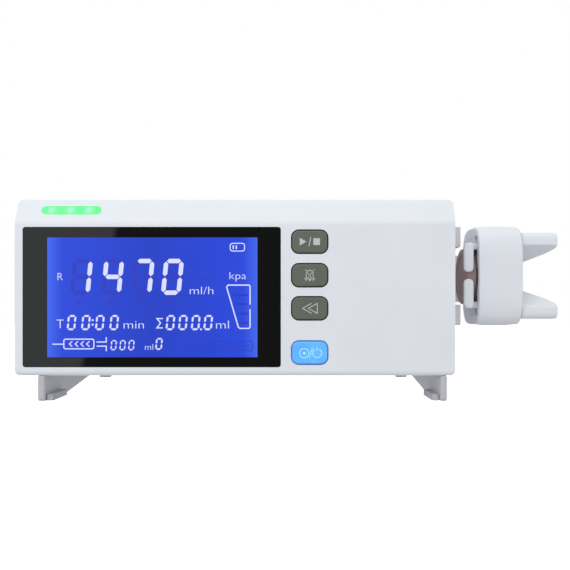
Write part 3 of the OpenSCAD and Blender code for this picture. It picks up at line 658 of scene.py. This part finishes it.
def draw_power(pen):
    """A ring with a dot, a stroke, and a ring that a short stroke breaks at the top."""
    pen.ring((-3.1, -0.3), 2.6, 0.42)
    pen.dot((-3.1, -0.3), 0.75)
    pen.line((-0.2, -3.2), (1.5, 3.0), 0.36)
    pen.ring((4.1, -0.3), 2.5, 0.42, 120, 420)
    pen.line((4.1, 0.9), (4.1, 3.1), 0.42)


# ---- rounded moulded parts ----

HEAD_CROWN = 0.7 * MM  # the head's top and bottom swell by this much in the middle
CROWN_FROM = 0.55      # part of the head's half height where the swelling starts
CROWN_CUTS = 8         # strips across the head, so that it can bend


def rounded_copy(name, nodes, voxel, rounds, swell=None):
    """The CAD solids of the nodes as one piece with softly rounded edges."""
    bm = bmesh.new()
    for node in nodes:
        bm.from_mesh(NODES[node].data)
    bmesh.ops.remove_doubles(bm, verts=bm.verts, dist=WELD)
    if swell:
        swell(bm)
    obj = from_bmesh(name, bm)
    remesh = obj.modifiers.new("remesh", "REMESH")
    remesh.mode = "VOXEL"
    remesh.voxel_size = voxel
    remesh.use_smooth_shade = True
    relax = obj.modifiers.new("relax", "SMOOTH")
    relax.factor = 0.5
    relax.iterations = rounds
    return obj


def crown_head(bm):
    """Cuts the head's long flat walls into strips, then swells its top and bottom."""
    low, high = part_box("head_housing")
    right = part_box("head_cover")[1].x
    middle_x, middle_z = (low.x + right) / 2, (low.z + high.z) / 2
    half_x, half_z = (right - low.x) / 2, (high.z - low.z) / 2
    for i in range(1, CROWN_CUTS):
        cut_x = low.x + (right - low.x) * i / CROWN_CUTS
        geom = list(bm.verts) + list(bm.edges) + list(bm.faces)
        bmesh.ops.bisect_plane(bm, geom=geom, dist=1e-7, plane_co=(cut_x, 0, 0), plane_no=(1, 0, 0))
    for v in bm.verts:
        up = (v.co.z - middle_z) / half_z
        reach = max(0.0, (abs(up) - CROWN_FROM) / (1 - CROWN_FROM))
        across = max(0.0, 1.0 - ((v.co.x - middle_x) / half_x) ** 2)
        v.co.z += math.copysign(HEAD_CROWN * reach * across, up)


def make_moulded():
    housing = FINISHES["housing"]
    halves = ["head_housing", "head_cover"]
    head = rounded_copy("head_shell", halves, voxel=0.55 * MM, rounds=10, swell=crown_head)
    put(head, "pusher", housing, halves)
    for node in ("upper_grip", "lower_grip"):
        piece = rounded_copy(node + "_moulded", [node], voxel=0.5 * MM, rounds=10)
        put(piece, node, housing, [node])
    ears = rounded_copy("flange_guides", ["flange_ears"], voxel=0.35 * MM, rounds=5)
    put(ears, "pump_body", FINISHES["guide"], ["flange_ears"])
    plate = rounded_copy("push_face", ["pressure_plate"], voxel=0.45 * MM, rounds=5)
    # the push face's brown finish is painted shade and reflection
    put(plate, "pusher", FINISHES["boss"], ["pressure_plate"])
    for node in ("left_foot", "right_foot"):
        piece = rounded_copy(node + "_moulded", [node], voxel=0.5 * MM, rounds=4)
        put(piece, "pump_body", FINISHES["foot"], [node])


# edge widths in mm of the flat parts that keep their CAD shape
BROKEN_EDGES = {"rear_cover": 0.5, "battery_cover": 0.3, "clamp_arm": 0.6, "mains_inlet": 0.3,
                "data_port": 0.25}


def dress_nodes():
    """Every CAD node that stays gets its slot's material; the flat ones get broken edges."""
    finishes = dict(FINISHES, lens_green=lens_material(*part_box("status_lens")))
    # the lit key's own node is replaced, so any finish serves it
    finishes["key_blue"] = FINISHES["key_grey"]
    for node, obj in NODES.items():
        material = finishes[SLOT_OF[node]]
        if not obj.material_slots:
            obj.data.materials.append(material)
        for slot in obj.material_slots:
            slot.material = material
        if node in BROKEN_EDGES:
            weld = obj.modifiers.new("weld", "WELD")
            weld.merge_threshold = WELD
            add_bevel(obj, BROKEN_EDGES[node] * MM)


# ---- studio ----

# two strengths, and the two values between which one turns into the other
PLASTIC_SKY = (0.68, 0.82, -0.6, 1.0)        # by height, for matt surfaces
GLOSS_SKY = (0.45, 1.05, -0.6, 0.9)          # by height, for reflections from the sides and behind
GLOSS_PANEL = (0.101, 0.901, -0.004, 0.004)  # across the panel's edge, for reflections from the front
GLOSS_FRONT = (0.0, 1.0, 0.72, 0.80)         # share of the panel, by how far forward a ray points
PANEL_SLOPE = 0.25  # the light panel ends along x = PANEL_SLOPE * (z - 1), at a distance of 1


def make_world():
    """White to the camera, a soft sky to plastic, and to gloss a light panel beside a dark front."""
    world = bpy.data.worlds.new("studio")
    bpy.context.scene.world = world
    world.use_nodes = True
    n = Nodes(world.node_tree)
    out = n.add("ShaderNodeOutputWorld")
    paths = n.add("ShaderNodeLightPath")
    split = n.add("ShaderNodeSeparateXYZ")
    n.link(n.add("ShaderNodeTexCoord").outputs["Generated"], split.inputs["Vector"])

    def maths(operation, *values):
        node = n.add("ShaderNodeMath", p_operation=operation)
        for socket, value in zip(node.inputs, values):
            if isinstance(value, float):
                socket.default_value = value
            else:
                n.link(value, socket)
        return node.outputs["Value"]

    def mix(factor, one, two):
        node = n.add("ShaderNodeMix", p_data_type="FLOAT")
        n.link(factor, node.inputs["Factor"])
        n.link(one, node.inputs[2])
        n.link(two, node.inputs[3])
        return node.outputs[0]

    forward = maths("MAXIMUM", maths("MULTIPLY", split.outputs["Y"], -1.0), 0.001)
    across = maths("DIVIDE", split.outputs["X"], forward)
    up = maths("DIVIDE", split.outputs["Z"], forward)
    edge = maths("SUBTRACT", maths("MULTIPLY_ADD", up, PANEL_SLOPE, -PANEL_SLOPE), across)
    height = split.outputs["Z"]
    glossy = mix(n.span(forward, *GLOSS_FRONT), n.span(height, *GLOSS_SKY), n.span(edge, *GLOSS_PANEL))
    diffuse = n.span(height, *PLASTIC_SKY)
    light = n.add("ShaderNodeBackground", Color=(0.965, 0.985, 1.0, 1.0))
    n.link(mix(paths.outputs["Is Glossy Ray"], diffuse, glossy), light.inputs["Strength"])
    white = n.add("ShaderNodeBackground", Color=(1.0, 1.0, 1.0, 1.0))
    both = n.add("ShaderNodeMixShader")
    n.link(paths.outputs["Is Camera Ray"], both.inputs["Fac"])
    n.link(light.outputs["Background"], both.inputs[1])
    n.link(white.outputs["Background"], both.inputs[2])
    n.link(both.outputs["Shader"], out.inputs["Surface"])


LIGHTS = {  # place, aim and size in metres, and power in watts
    "key_light": ((-0.25, -0.85, 0.60), (0, 0, 0.06), (0.9, 0.6), 3.7),
    "top_light": ((0.15, 0.05, 0.9), (0.05, 0, 0.05), (0.8, 0.5), 0.4),
}
FLOOR_HALF = 1.6         # metres from the floor's middle to its edge
FLOOR_DROP = 0.2 * MM    # the floor lies this far under the foot pads
CAMERA_AWAY = 420 * MM   # from the front face
CAMERA_X = -5.6 * MM
CAMERA_Z = 54 * MM
CAMERA_LENS = 47.6       # focal length in mm, on a sensor 36 mm wide
CAMERA_SHIFT = 0.035     # moves the picture down, as a part of its width


def add_light(name, place, aim, size, power):
    data = bpy.data.lights.new(name, "AREA")
    data.shape = "RECTANGLE"
    data.size, data.size_y = size
    data.energy = power
    obj = bpy.data.objects.new(name, data)
    obj.location = place
    obj.rotation_euler = (Vector(aim) - Vector(place)).to_track_quat("-Z", "Y").to_euler()
    obj.visible_glossy = False
    bpy.context.scene.collection.objects.link(obj)


def make_floor():
    bm = bmesh.new()
    bmesh.ops.create_grid(bm, x_segments=8, y_segments=8, size=FLOOR_HALF)
    floor = from_bmesh("floor", bm)
    floor.location.z = -FLOOR_DROP
    material = glowing("floor_paper", srgb(250, 250, 251), 1.0, tone=0.004, rough=0.9, blotch=3.0)
    floor.data.materials.append(material)
    floor.visible_glossy = False
    floor.visible_diffuse = False


def make_camera():
    data = bpy.data.cameras.new("camera")
    data.sensor_width = 36
    data.lens = CAMERA_LENS
    data.shift_y = CAMERA_SHIFT
    camera = bpy.data.objects.new("camera", data)
    camera.location = (CAMERA_X, cad_box[0][1] - CAMERA_AWAY, CAMERA_Z)
    camera.rotation_euler = (math.radians(90), 0, 0)
    bpy.context.scene.collection.objects.link(camera)
    bpy.context.scene.camera = camera


make_display()
make_keys()
dress_nodes()
make_moulded()
make_world()
make_floor()
for name, setup in LIGHTS.items():
    add_light(name, *setup)
make_camera()
bpy.context.scene.view_settings.view_transform = "Standard"
